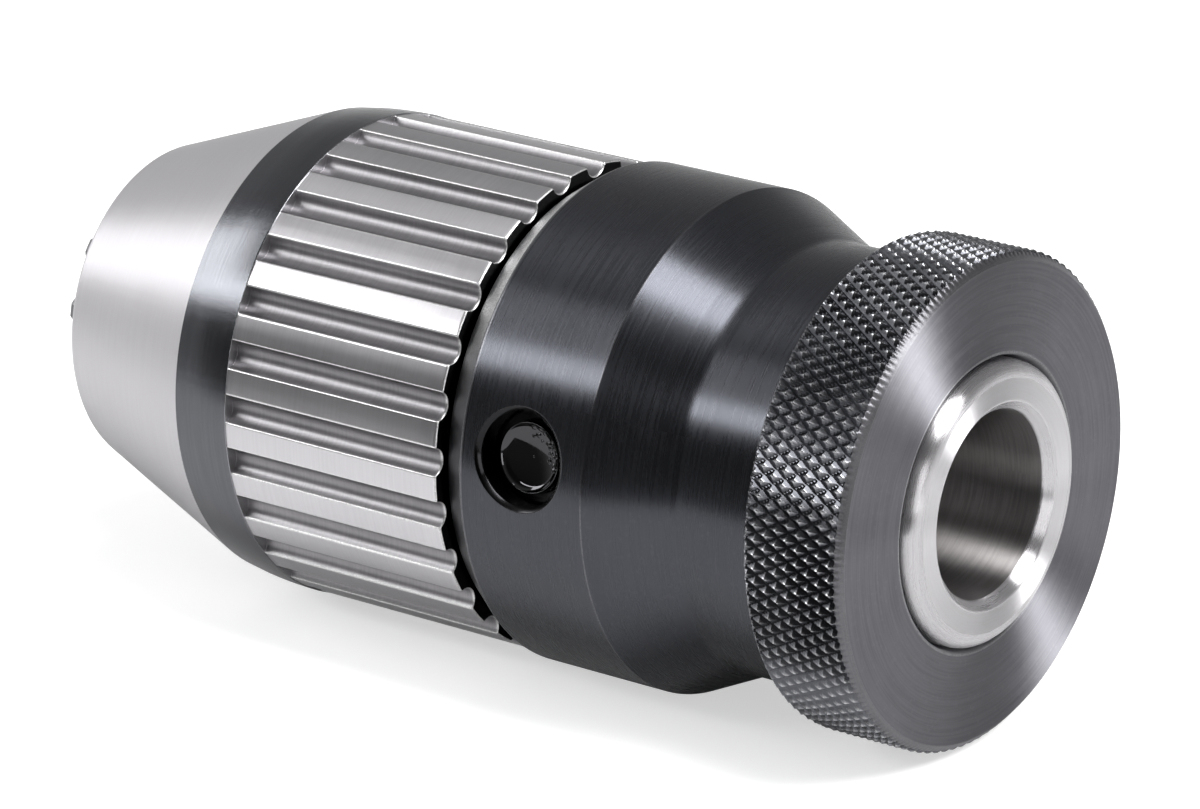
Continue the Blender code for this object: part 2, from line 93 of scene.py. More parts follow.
def mesh_object(name, points, faces, uv, finish=None, flat=None, **marks):
    """Points (n, 3) in millimetres and faces (m, 4) become a closed object at the origin.
    finish: each face's material number. flat: faces not shaded smooth. marks: values at the points.
    Six times the volume is the sum over the faces of one corner dotted with the cross products of
    the others; where it is negative, the faces look inward and are turned."""
    p = points[faces]
    crossed = np.cross(p[:, 1], p[:, 2]) + np.cross(p[:, 2], p[:, 3])
    six_volumes = np.einsum("ij,ij->i", p[:, 0], crossed).sum()
    if six_volumes < 0:
        faces = faces[:, ::-1]
        uv = uv[:, ::-1]
    mesh = bpy.data.meshes.new(name)
    mesh.vertices.add(len(points))
    mesh.vertices.foreach_set("co", (points * MM).astype(np.float32).ravel())
    mesh.loops.add(faces.size)
    mesh.loops.foreach_set("vertex_index", faces.astype(np.int32).ravel())
    mesh.polygons.add(len(faces))
    mesh.polygons.foreach_set("loop_start", np.arange(0, faces.size, 4, dtype=np.int32))
    smooth = np.ones(len(faces), dtype=bool) if flat is None else ~flat
    mesh.polygons.foreach_set("use_smooth", smooth)
    mesh.uv_layers.new(name="surface_mm").data.foreach_set("uv", uv.astype(np.float32).ravel())
    for label, values in marks.items():
        mark = mesh.attributes.new(label, "FLOAT", "POINT")
        mark.data.foreach_set("value", values.astype(np.float32).ravel())
    if finish is not None:
        mesh.polygons.foreach_set("material_index", finish.astype(np.int32))
    mesh.update(calc_edges=True)
    item = add_object(name, mesh)
    print(f"{name}: {len(faces)} faces, {abs(six_volumes) / 6 / MM3_IN_CM3:.3f} cm3")
    return item


# %% [markdown]
# Almost every piece of a chuck is turned, so one helper carries a closed profile once round
# the axis, as a lathe does. Rows run along the profile and columns round the body, and the
# last of each joins the first, so the piece is closed.

# %% A profile carried round the axis
def lathe(station, radius, angle, edge):
    """Points at x = minus the station, y = radius times the angle's cosine, z = radius times its sine,
    on a grid that closes both ways. radius and edge: one value per row, or one per point."""
    shape = (len(station), len(angle))
    station = np.asarray(station, float)
    radius = np.broadcast_to(np.asarray(radius, float).reshape(shape[0], -1), shape)
    edge = np.broadcast_to(np.asarray(edge, float).reshape(shape[0], -1), shape)
    x = np.broadcast_to(-station[:, None], shape)
    points = np.stack([x, radius * np.cos(angle), radius * np.sin(angle)], -1).reshape(-1, 3)
    i, j = np.meshgrid(np.arange(shape[0]), np.arange(shape[1]), indexing="ij")
    down, right = (i + 1) % shape[0], (j + 1) % shape[1]
    quads = [i * shape[1] + j, i * shape[1] + right, down * shape[1] + right, down * shape[1] + j]
    steps = np.hypot(np.diff(station, append=station[0]), np.diff(radius[:, 0], append=radius[0, 0]))
    v = np.concatenate([[0.0], np.cumsum(steps)])
    u = np.concatenate([angle, [angle[0] + 2 * np.pi]]) * radius.max()
    uv = np.stack([np.stack([u[j], u[j + 1], u[j + 1], u[j]], -1),
                   np.stack([v[i], v[i], v[i + 1], v[i + 1]], -1)], -1)
    return points, np.stack(quads, -1).reshape(-1, 4), uv.reshape(-1, 4, 2), edge.ravel()


def face_places(points, faces):
    """Station of each face's middle, and its distance from the axis."""
    middle = points[faces].mean(1)
    return -middle[:, 0], np.hypot(middle[:, 1], middle[:, 2])


# %% [markdown]
# A turned edge is never sharp: it has a small radius that catches the light. The profile is
# typed as corners with a radius each, and this helper puts the arc in, with one more point
# close beside it so that the flat next to it keeps its shading. Small radii are marked as
# edges that wear bright.

# %% Rounded profile
LONGEST_REACH = 0.42
BESIDE_MM = 0.07
BESIDE_SHARE = 0.4
WORN_UNDER_MM = 0.5
NEARLY_STRAIGHT = 0.01


def rounded_profile(corners, arc=5):
    """Each corner (station, radius, fillet) of a closed outline becomes an arc tangent to both sides,
    whose points run from start to stop by sines of shares of the sweep."""
    spots = np.array(corners, float)[:, :2]
    points, marks = [], []
    for k, (*_, fillet) in enumerate(corners):
        here = spots[k]
        back, on = spots[k - 1] - here, spots[(k + 1) % len(spots)] - here
        shorter = min(np.linalg.norm(back), np.linalg.norm(on))
        back, on = back / np.linalg.norm(back), on / np.linalg.norm(on)
        half = math.acos(float(np.clip(back @ on, -1.0, 1.0))) / 2
        if fillet == 0.0 or half > math.pi / 2 - NEARLY_STRAIGHT:
            points.append(here)
            marks.append(0.0)
            continue
        reach = min(fillet / math.tan(half), LONGEST_REACH * shorter)
        centre = here + (back + on) / np.linalg.norm(back + on) * reach / math.cos(half)
        start, stop, sweep = here + back * reach - centre, here + on * reach - centre, math.pi - 2 * half
        share = np.linspace(0.0, 1.0, arc + 1)[:, None]
        turned = (np.sin((1 - share) * sweep) * start + np.sin(share * sweep) * stop) / math.sin(sweep)
        spare = min(BESIDE_MM, BESIDE_SHARE * reach)
        points += [here + back * (reach + spare), *(centre + turned), here + on * (reach + spare)]
        marks += [0.0] + [1.0 if fillet < WORN_UNDER_MM else 0.0] * (arc + 1) + [0.0]
    points = np.array(points)
    return points[:, 0], points[:, 1], np.array(marks)


# %% [markdown]
# ## Finishes
# Every finish is a tree of shader nodes. These helpers add one node with its settings, make a
# group of nodes with named inputs and outputs, place it in a tree, and start a material.

# %% Helpers that add nodes
def add_node(tree, kind, inputs=None, **settings):
    """Add a node, set its properties and the default values of the inputs that are named."""
    made = tree.nodes.new("ShaderNode" + kind)
    for key, value in settings.items():
        setattr(made, key, value)
    for socket, number in (inputs or {}).items():
        made.inputs[socket].default_value = number
    return made


def new_group(name, inputs, outputs):
    """A shader node group with number inputs (name: default) and number outputs."""
    group = bpy.data.node_groups.new(name, "ShaderNodeTree")
    for label, default in inputs.items():
        socket = group.interface.new_socket(label, in_out="INPUT", socket_type="NodeSocketFloat")
        socket.default_value = default
    for label in outputs:
        group.interface.new_socket(label, in_out="OUTPUT", socket_type="NodeSocketFloat")
    return group, group.nodes.new("NodeGroupInput"), group.nodes.new("NodeGroupOutput")


def use_group(tree, group, label, number):
    """A node that uses a group, with one of its inputs set."""
    made = tree.nodes.new("ShaderNodeGroup")
    made.node_tree = group
    made.inputs[label].default_value = number
    return made


def new_finish(name, inputs):
    """A material whose Principled shader has these input values; gives back it, its tree and shader."""
    made = bpy.data.materials.new(name)
    made.use_nodes = True
    shader = made.node_tree.nodes["Principled BSDF"]
    for socket, number in inputs.items():
        shader.inputs[socket].default_value = number
    return made, made.node_tree, shader


# %% [markdown]
# A finish varies from place to place because its numbers and colours are worked out there.
# These helpers add the sums, and each gives back the socket with the result.

# %% Helpers that combine values
def maths(tree, operation, first, second):
    """A Math node whose inputs are sockets or numbers; gives back its output socket."""
    made = add_node(tree, "Math", operation=operation)
    for place, value in enumerate((first, second)):
        if isinstance(value, (int, float)):
            made.inputs[place].default_value = value
        else:
            tree.links.new(value, made.inputs[place])
    return made.outputs[0]


def ramp(tree, value, low, high, out_low=0.0, out_high=1.0):
    """Map Range from low..high to out_low..out_high, smooth and clamped."""
    limits = {"From Min": low, "From Max": high, "To Min": out_low, "To Max": out_high}
    made = add_node(tree, "MapRange", limits, interpolation_type="SMOOTHSTEP")
    tree.links.new(value, made.inputs["Value"])
    return made.outputs["Result"]


def blend_colour(tree, factor, first, second):
    """Mix of two colours, each a socket or three numbers."""
    made = add_node(tree, "Mix", data_type="RGBA")
    tree.links.new(factor, made.inputs["Factor"])
    for place, value in ((6, first), (7, second)):
        if isinstance(value, tuple):
            made.inputs[place].default_value = (*value, 1.0)
        else:
            tree.links.new(value, made.inputs[place])
    return made.outputs[2]


# %% [markdown]
# Three effects are shared by the steel surfaces, so each is a node group, which gives only
# values. The first is what a tool or a grinding wheel leaves: fine rings, and streaks that are
# much longer round the body than along it. Both read the UV map, so they follow the profile.

# %% Turning marks
STREAKS_AROUND_PER_MM = 0.09
STREAKS_ALONG_PER_MM = 4.5
marks_group, marks_in, marks_out = new_group("turning_marks", {"Lines per mm": 6.0}, ["Height", "Streak"])
link = marks_group.links.new
uv_node = add_node(marks_group, "UVMap", uv_map="surface_mm")
uv_parts = add_node(marks_group, "SeparateXYZ")
link(uv_node.outputs[0], uv_parts.inputs[0])
round_mm, along_mm = uv_parts.outputs["X"], uv_parts.outputs["Y"]
fine = add_node(marks_group, "TexNoise", {"Detail": 3.0, "Roughness": 0.7, "Scale": 1.0},
                noise_dimensions="1D")
link(maths(marks_group, "MULTIPLY", along_mm, marks_in.outputs["Lines per mm"]), fine.inputs["W"])
link(fine.outputs["Fac"], marks_out.inputs["Height"])
stretched = add_node(marks_group, "CombineXYZ")
for axis, distance, density in (("X", round_mm, STREAKS_AROUND_PER_MM),
                                ("Y", along_mm, STREAKS_ALONG_PER_MM)):
    link(maths(marks_group, "MULTIPLY", distance, density), stretched.inputs[axis])
streak = add_node(marks_group, "TexNoise", {"Detail": 3.0, "Roughness": 0.6, "Scale": 1.0},
                  noise_dimensions="2D")
link(stretched.outputs[0], streak.inputs["Vector"])
link(streak.outputs["Fac"], marks_out.inputs["Streak"])
print("turning marks:", len(marks_group.nodes), "nodes")

# %% [markdown]
# The other two lie in the piece's own coordinates. Blasting and oxide leave a fine grain, on
# which a few bright specks of dust show. Handling and oil leave slow patches.

# %% Grain, dust and patches
MM_IN_M = 1000.0
SPECK_GRAINS = 2.5


def spread(group, group_in, texture, per_metre):
    """Lay a texture over the object's own coordinates; its scale is per_metre over the group's size."""
    coords = add_node(group, "TexCoord")
    group.links.new(coords.outputs["Object"], texture.inputs["Vector"])
    group.links.new(maths(group, "DIVIDE", per_metre, group_in.outputs["Size mm"]), texture.inputs["Scale"])


grain_group, grain_in, grain_out = new_group("fine_grain", {"Size mm": 0.1}, ["Height", "Specks"])
link = grain_group.links.new
grain = add_node(grain_group, "TexNoise", {"Detail": 2.0, "Roughness": 0.6})
spread(grain_group, grain_in, grain, MM_IN_M)
link(grain.outputs["Fac"], grain_out.inputs["Height"])
speck = add_node(grain_group, "TexVoronoi", feature="F1")
spread(grain_group, grain_in, speck, MM_IN_M / SPECK_GRAINS)
speck_value = add_node(grain_group, "SeparateColor")
link(speck.outputs["Color"], speck_value.inputs[0])
link(ramp(grain_group, speck_value.outputs[0], 0.9, 0.98), grain_out.inputs["Specks"])

patch_group, patch_in, patch_out = new_group("handling_patches", {"Size mm": 8.0}, ["Patch"])
cloud = add_node(patch_group, "TexNoise", {"Detail": 4.0, "Roughness": 0.55, "Distortion": 0.4})
spread(patch_group, patch_in, cloud, MM_IN_M)
patch_group.links.new(ramp(patch_group, cloud.outputs["Fac"], 0.32, 0.68), patch_out.inputs["Patch"])
print("effect groups:", [group.name for group in bpy.data.node_groups])

# %% [markdown]
# Every steel on the chuck is the same recipe with other numbers: a colour that varies a little
# with the streaks and patches, brighter at worn edges and at the painted highlight on the
# sleeve's chamfer, a roughness that varies the same way, and a bump from turning marks and grain.
# Highlights on turned steel stretch across the marks, so the tangent runs round the body and the
# stretch is turned by a quarter. Each material keeps its own Principled shader.

# %% One recipe for all the steels
QUARTER_TURN = 0.25
PATCH_SHARE = 0.4
DUST = (0.62, 0.62, 0.64)
UNWORN_AT, WORN_AT, LEAST_WORN = 0.35, 0.6, 0.25


def steel(name, dark, light, rough, lines=6.0, bump=0.02, grain_mm=0.1, grain_bump=0.1,
          patch_mm=8.0, stretch=0.0, wear_and_highlight=None, specks=0.0, drawn=True):
    """dark and light: the two ends of the colour. rough: the two ends of the roughness. lines: turning
    marks a millimetre. bump: depth of the relief in mm. grain_bump: the grain's share of it. The bright
    edge colour goes where edges wear bright, and on the sleeve's chamfer it paints a highlight.
    specks: how strongly dust shows. drawn: turning marks are laid along the UV map."""
    metal = {"Metallic": 1.0, "Anisotropic": stretch, "Anisotropic Rotation": QUARTER_TURN}
    made, tree, shader = new_finish(name, metal)
    grains = use_group(tree, grain_group, "Size mm", grain_mm)
    tone = use_group(tree, patch_group, "Size mm", patch_mm).outputs["Patch"]
    height = maths(tree, "MULTIPLY", grains.outputs["Height"], grain_bump)
    if drawn:
        marks = use_group(tree, marks_group, "Lines per mm", lines)
        height = maths(tree, "ADD", height, marks.outputs["Height"])
        streaks = ramp(tree, marks.outputs["Streak"], 0.3, 0.7)
        tone = maths(tree, "ADD", maths(tree, "MULTIPLY", tone, PATCH_SHARE),
                     maths(tree, "MULTIPLY", streaks, 1.0 - PATCH_SHARE))
    base = blend_colour(tree, tone, dark, light)
    # Lighter where the edge attribute is high: steel worn bright, and on the sleeve's chamfer a painted
    # highlight.
    if wear_and_highlight is not None:
        edges = add_node(tree, "Attribute", attribute_name="edge")
        chips = ramp(tree, grains.outputs["Height"], UNWORN_AT, WORN_AT, LEAST_WORN, 1.0)
        base = blend_colour(tree, maths(tree, "MULTIPLY", edges.outputs["Fac"], chips), base, wear_and_highlight)
    if specks > 0.0:
        base = blend_colour(tree, maths(tree, "MULTIPLY", grains.outputs["Specks"], specks), base, DUST)
    tree.links.new(base, shader.inputs["Base Color"])
    tree.links.new(ramp(tree, tone, 0.0, 1.0, *rough), shader.inputs["Roughness"])
    relief = add_node(tree, "Bump", {"Strength": 1.0, "Distance": bump * MM})
    tree.links.new(height, relief.inputs["Height"])
    tree.links.new(relief.outputs[0], shader.inputs["Normal"])
    if drawn and stretch > 0.0:
        tangent = add_node(tree, "Tangent", direction_type="UV_MAP", uv_map="surface_mm")
        tree.links.new(tangent.outputs[0], shader.inputs["Tangent"])
    return made


# %% [markdown]
# The hub is ground bright, its bore darker. The ring is blackened: knurled round the outside,
# turned on its face. The sleeve is oiled black oxide, worn on its front chamfer, where a painted
# highlight on one side is broken into bright chips. The pieces inside need only a plain finish each.

# %% Finishes of the hub, the ring, the sleeve and the pieces inside
ground = {"lines": 9.0, "stretch": 1.0}
hub_finishes = [
    steel("ground_hub_steel", (0.67, 0.66, 0.675), (0.71, 0.70, 0.715), (0.58, 0.61), bump=0.004, **ground),
    steel("rounded_hub_steel", (0.46, 0.45, 0.465), (0.54, 0.53, 0.545), (0.26, 0.30), bump=0.004, **ground),
    steel("ground_bore_steel", (0.17, 0.162, 0.160), (0.23, 0.22, 0.217), (0.36, 0.42), bump=0.006, **ground),
]
knurl_finish = steel("black_knurl_steel", (0.08, 0.082, 0.091), (0.11, 0.112, 0.122), (0.20, 0.28),
                     bump=0.004, wear_and_highlight=(0.6, 0.6, 0.62), drawn=False)
face_finish = steel("turned_face_steel", (0.160, 0.158, 0.173), (0.215, 0.213, 0.230), (0.55, 0.60),
                    lines=5.0, bump=0.010, stretch=1.0, wear_and_highlight=(0.35, 0.35, 0.36), specks=0.03)
sleeve_finish = steel("black_sleeve_steel", (0.062, 0.064, 0.073), (0.068, 0.070, 0.080), (0.25, 0.30),
                      lines=9.0, bump=0.010, stretch=0.8, wear_and_highlight=(0.14, 0.14, 0.15), specks=0.01)
# The sleeve's front chamfer: dark black oxide, with a painted highlight in the bright edge colour where the
# edge attribute is high.
chamfer_highlight_finish = steel("chamfer_painted_highlight_steel", (0.05, 0.05, 0.055), (0.07, 0.07, 0.075), (0.42, 0.46),
                       bump=0.012, grain_mm=0.085, grain_bump=1.0, patch_mm=0.6, wear_and_highlight=(0.9, 0.9, 0.9),
                       drawn=False)
# Near-black for oil, and painted shade in the gap behind the hood and in the spanner hole.
oil_and_shade_finish = steel("oil_and_painted_shade_steel", (0.012, 0.012, 0.013), (0.03, 0.03, 0.032), (0.12, 0.25), drawn=False)
guide_finish = steel("guide_steel", (0.25, 0.25, 0.25), (0.36, 0.36, 0.36), (0.25, 0.4), drawn=False)
jaw_finish = steel("jaw_steel", (0.1, 0.1, 0.105), (0.18, 0.18, 0.19), (0.25, 0.4), drawn=False)
spindle_finish = steel("spindle_steel", (0.35, 0.35, 0.35), (0.45, 0.45, 0.45), (0.25, 0.4), drawn=False)
screw_finish = steel("black_screw_steel", (0.02, 0.02, 0.022), (0.04, 0.04, 0.042), (0.15, 0.3), drawn=False)
ball_finish = steel("ball_steel", (0.7, 0.7, 0.71), (0.76, 0.76, 0.77), (0.06, 0.1), bump=0.001, drawn=False)
cage_finish = steel("cage_brass", (0.62, 0.42, 0.16), (0.72, 0.52, 0.24), (0.25, 0.4), drawn=False)
print("hub finishes:", [finish.name for finish in hub_finishes])

# %% [markdown]
# The hood is one piece of steel with five finishes: a satin cone, a blackened band, ground
# lands, the darker, duller floors of the flutes, and a near-black on its inside and rear end that
# paints the shade there along with oil.

# %% Finishes of the hood
CONE, BAND, LAND, FLOOR, INSIDE = range(5)
hood_finishes = [
    steel("satin_cone_steel", (0.53, 0.52, 0.54), (0.56, 0.55, 0.57), (0.375, 0.39), lines=11.0, bump=0.006,
          grain_mm=0.12, grain_bump=0.5, stretch=0.6, wear_and_highlight=(0.75, 0.75, 0.75)),
    steel("black_band_steel", (0.105, 0.108, 0.118), (0.13, 0.133, 0.144), (0.18, 0.21), lines=8.0,
          bump=0.003, grain_mm=0.085, grain_bump=2.6, stretch=0.2, wear_and_highlight=(0.4, 0.4, 0.42)),
    steel("ground_land_steel", (0.53, 0.52, 0.54), (0.58, 0.57, 0.59), (0.30, 0.32), lines=9.0, bump=0.002,
          grain_mm=0.2, stretch=0.8, wear_and_highlight=(0.8, 0.8, 0.8)),
    steel("flute_floor_steel", (0.22, 0.214, 0.224), (0.28, 0.273, 0.285), (0.37, 0.41), lines=5.0,
          bump=0.003, grain_mm=0.085, grain_bump=2.4, stretch=0.1, wear_and_highlight=(0.8, 0.8, 0.8)),
    oil_and_shade_finish,
]
print("hood finishes:", [finish.name for finish in hood_finishes])

# %% [markdown]
# ## The pieces
# The outer sizes are the part's own. A drawn piece stands for one node: it replaces that node's
# mesh and moves with its body.

# %% Sizes that the drawn pieces share, and how a piece joins the frame
SLEEVE_R = 21.5
HOOD_R = 21.15
RING_R = 20.95
NOSE_FRONT = 87.0
BAND_FRONT = 69.5
BAND_REAR = 63.6
HOOD_REAR = 41.2
ROUND = np.linspace(0.0, 2 * np.pi, 193)[:-1]


def dress(item, node, body, slot, *materials):
    """The piece stands for a node, which it hides, moves with its body and takes these finishes. slot: not
    used.
    """
    for material in materials:
        item.data.materials.append(material)
    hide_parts(node)
    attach(item, body)


# %% [markdown]
# ## Hub
# The bright hub is one turned piece. Its rear end carries the taper socket, with a ground
# chamfer round the mouth, a flat ring and a well rounded outer edge. Inside it goes on as the
# flange of the ball race and the boss with the feed thread.

# %% Hub
FACE_DEPTH = 0.004
MOUTH_DEPTH = 0.9
BORE_LIMIT_R = 9.0
hub_s, hub_r, hub_edge = rounded_profile([
    (49.58, 6.5, 0.0), (49.58, 10.6, 0.0), (49.18, 11.0, 0.0), (27.48, 11.0, 0.2), (27.48, 16.3, 0.2),
    (24.28, 16.3, 0.2), (24.28, 15.1, 0.0), (24.66, 14.6, 0.0), (24.66, 13.5, 0.0), (24.28, 13.0, 0.0),
    (24.28, 11.5, 0.0), (21.3, 11.5, 0.0), (21.3, 12.0, 0.1), (0.0, 12.0, 1.4), (0.0, 8.72, 0.35),
    (0.8, 7.92, 0.45), (26.0, 7.12, 0.3), (26.0, 2.2, 0.1), (28.0, 2.2, 0.1), (28.0, 6.0, 0.0),
    (49.08, 6.0, 0.0)], arc=8)
points, faces, uv, edge = lathe(hub_s, hub_r, ROUND, hub_edge)
station_of, radius_of = face_places(points, faces)
rounded = (radius_of > BORE_LIMIT_R) | (station_of < MOUTH_DEPTH)
finish = np.where(station_of < FACE_DEPTH, 0, np.where(rounded, 1, 2))
dress(mesh_object("hub_body", points, faces, uv, finish=finish, edge=edge),
      "hub", "body", "hub_steel", *hub_finishes)

# %% [markdown]
# ## Knurled ring
# The holding ring is gripped by hand while the casing is turned. Its diamond knurl is two sets
# of V grooves at about 30 degrees to the axis, one left-handed and one right-handed, which
# leave small pyramids. The surface is worked out as a height over station and angle: each
# set's height is its distance from the nearest groove, and the lower of the two is what is
# left.

# %% Height of the knurl
KNURLS_ROUND = 108
KNURL_PER_MM = 0.486
KNURL_DEPTH = 0.42
CREST_FLAT = 0.92


def knurl_height(station, angle):
    """For each of two sets of V grooves that cross, twice the distance to the nearest groove as a share
    of their pitch: 0 in a groove and 1 midway. The lower of the two, over CREST_FLAT, stops at 1."""
    right = (KNURLS_ROUND * angle / (2 * np.pi) + KNURL_PER_MM * station) % 1.0
    left = (KNURLS_ROUND * angle / (2 * np.pi) - KNURL_PER_MM * station) % 1.0
    lower = np.minimum(1 - np.abs(2 * right - 1), 1 - np.abs(2 * left - 1))
    return np.clip(lower / CREST_FLAT, 0.0, 1.0)


print(f"knurl: {KNURLS_ROUND} grooves each way, {KNURL_DEPTH} mm deep")

# %% [markdown]
# Both ends of the ring are cut back by a turned chamfer, which is a ceiling on the radius. The
# grid's points fall on the grooves and crests, so the pyramids come out sharp. Their faces are
# not shaded smooth, while the turned faces are.

# %% Knurled ring
CELL_PARTS = 4
RING_REAR = 1.05
RING_FRONT = 10.5
FRONT_CHAMFER = 0.5
REAR_CHAMFER = 0.85
REAR_CHAMFER_SLOPE = 1.1
CHAMFER_WORN = 0.35
WORN_CREST = 0.6
row_step = 1 / (2 * KNURL_PER_MM) / CELL_PARTS
ring_angle = np.linspace(0.0, 2 * np.pi, KNURLS_ROUND * 2 * CELL_PARTS + 1)[:-1]
lattice = np.arange(math.ceil(RING_REAR / row_step), int(RING_FRONT / row_step) + 1) * row_step
rim = np.concatenate([[RING_FRONT], lattice[::-1], [RING_REAR + 0.62, RING_REAR + 0.03, RING_REAR + 0.005]])
rim = np.sort(rim[(rim > RING_REAR + 0.7) | (rim < RING_REAR + 0.65)])[::-1]
ceiling = np.minimum(RING_R - FRONT_CHAMFER + (RING_FRONT - rim),
                     RING_R - REAR_CHAMFER + (rim - RING_REAR) * REAR_CHAMFER_SLOPE)[:, None]
ridge = knurl_height(rim[:, None], ring_angle[None, :])
rim_r = np.minimum(RING_R - KNURL_DEPTH * (1 - ridge), ceiling)
rim_edge = np.where(ceiling <= rim_r + 1e-6, CHAMFER_WORN,
                    np.clip((ridge - WORN_CREST) / (1 - WORN_CREST), 0.0, 1.0))
# Station, radius and edge mark down the rear face, through the bore and up the front face.
ring_face = np.array([
    (RING_REAR, 20.07, 0.4), (RING_REAR, 20.0, 0.0), (RING_REAR, 12.68, 0.0), (RING_REAR, 12.6, 1.0),
    (1.06, 12.5, 1.0), (1.10, 12.4, 0.5), (1.35, 12.3, 0.0), (10.4, 12.3, 0.0), (RING_FRONT, 12.4, 0.0),
    (RING_FRONT, 19.9, 0.0)])
face_grid = (len(ring_face), len(ring_angle))
ring_r = np.concatenate([rim_r, np.broadcast_to(ring_face[:, 1:2], face_grid)])
ring_edge = np.concatenate([rim_edge, np.broadcast_to(ring_face[:, 2:3], face_grid)])
points, faces, uv, edge = lathe(np.concatenate([rim, ring_face[:, 0]]), ring_r, ring_angle, ring_edge)
station_of, radius_of = face_places(points, faces)
on_knurl = (station_of > RING_REAR + 0.65) & (radius_of > 20.0)
finish = np.where(on_knurl, 0, 1)
ring = mesh_object("knurled_ring_body", points, faces, uv, finish=finish, flat=on_knurl, edge=edge)
dress(ring, "knurled_ring", "body", "black_knurl", knurl_finish, face_finish)

# %% [markdown]
# ## Round holes through turned walls
# The sleeve has a spanner hole, and the hood's spigot inside it a hole for the lock screw. A
# Boolean would leave long thin faces that shade badly on a gloss surface, so the grid is laid
# round the hole instead: a window is left out of the outer wall and another out of the bore,
# and a patch fills them whose lines run from the window's edge to the circle.

# %% Where the hole is, and the border of a window
HOLE_STATION = 32.5
HOLE_ANGLE = math.radians(171.8)
OUTWARD = np.array([0.0, math.cos(HOLE_ANGLE), math.sin(HOLE_ANGLE)])
SIDEWAYS = np.array([0.0, -math.sin(HOLE_ANGLE), math.cos(HOLE_ANGLE)])
REARWARD = np.array([1.0, 0.0, 0.0])


def border(first, last, left, right, columns):
    """Grid indices once round a window: along its first row, down, back along its last row and up."""
    along = np.arange(left, right)
    down = np.arange(first, last)
    return np.concatenate([first * columns + along, down * columns + right,
                           last * columns + along[::-1] + 1, (down[::-1] + 1) * columns + left])


print("hole points outward at", np.round(OUTWARD, 3).tolist())

# %% [markdown]
# The patch is a chain of loops: the outer window's edge, one loop halfway, the rings of the
# hole from the outside in, one more halfway, and the edge of the window in the bore. Each
# point is put at the wall's own radius, so the shading stays that of the turned piece.

# %% Pierced wall
def pierced(station, radius, angle, edge, windows, sides, rings):
    """A lathe with a round hole. windows: row ranges (first, last) of the outer wall and of the bore.
    sides: column range. rings: (hole radius, wall radius, depth under the wall, edge) from the outside in.
    A point's height over the axis is the root of its wall radius squared less its offset across the hole
    squared, less the depth."""
    points, faces, uv, marks = lathe(station, radius, angle, edge)
    columns = len(angle)
    (outer_first, outer_last), (inner_first, inner_last) = windows
    row, column = np.divmod(np.arange(len(faces)), columns)
    in_sides = (column >= sides[0]) & (column < sides[1])
    in_rows = ((row >= outer_first) & (row < outer_last)) | ((row >= inner_first) & (row < inner_last))
    keep = ~(in_sides & in_rows)
    outer = border(outer_first, outer_last, *sides, columns)
    # The bore's rows run the other way, so its window is walked with the rows swapped.
    row, column = np.divmod(border(inner_first, inner_last, *sides, columns), columns)
    inner = (inner_first + inner_last - row) * columns + column
    turn = np.arctan2(points[outer] @ SIDEWAYS, -points[outer, 0] - HOLE_STATION)

    def halfway(window, ring):
        """A loop midway between the window's edge and a ring."""
        along = 0.5 * (-points[window, 0] - HOLE_STATION + ring[0] * np.cos(turn))
        across = 0.5 * (points[window] @ SIDEWAYS + ring[0] * np.sin(turn))
        return along, across, ring[1], 0.0, 0.0

    loops = [halfway(outer, rings[0])]
    loops += [(r * np.cos(turn), r * np.sin(turn), wall, depth, mark) for r, wall, depth, mark in rings]
    loops += [halfway(inner, rings[-1])]
    ring_points = []
    for along, across, wall, depth, mark in loops:
        height = np.sqrt(wall ** 2 - across ** 2) - depth
        ring_points.append(np.outer(-(HOLE_STATION + along), REARWARD) + np.outer(height, OUTWARD)
                           + np.outer(across, SIDEWAYS))
        marks = np.append(marks, np.full(len(turn), mark))
    starts = len(points) + len(outer) * np.arange(len(loops))
    chain = [outer] + [start + np.arange(len(outer)) for start in starts] + [inner]
    points = np.concatenate([points, *ring_points])
    strips = [np.stack([x, np.roll(x, -1), np.roll(y, -1), y], -1) for x, y in zip(chain, chain[1:])]
    patch = np.concatenate(strips)
    q = points[patch]
    around = (np.arctan2(q @ SIDEWAYS, q @ OUTWARD) + HOLE_ANGLE) * np.max(radius)
    v_top = uv.reshape(-1, columns, 4, 2)[outer_first, 0, 0, 1]
    v_patch = v_top + station[outer_first] + q[..., 0]
    uv = np.concatenate([uv[keep], np.stack([around, v_patch], -1)])
    return points, np.concatenate([faces[keep], patch]), uv, marks


# %% [markdown]
# A window needs evenly spaced rows, which a profile's straight run does not have, so this
# helper puts them in.

# %% Rows for a window
def with_window(station, radius, edge, at, wall, top, bottom, steps):
    """Insert evenly spaced rows of radius wall, from station top to bottom, before the profile's row at."""
    rows = np.linspace(top, bottom, steps + 1)
    station = np.insert(station, at, rows)
    radius = np.insert(radius, at, np.full((steps + 1,) + radius.shape[1:], wall), axis=0)
    edge = np.insert(edge, at, np.zeros((steps + 1,) + edge.shape[1:]), axis=0)
    return station, radius, edge


# %% [markdown]
# ## Sleeve
# The black sleeve is gripped to turn the chuck. It is turned from bar: a neck, a cone with a
# small blend, a long cylinder with a chamfer in front, and inside it the ball race. The
# spanner hole near its front gives a hold for a pin spanner and shows the lock screw.

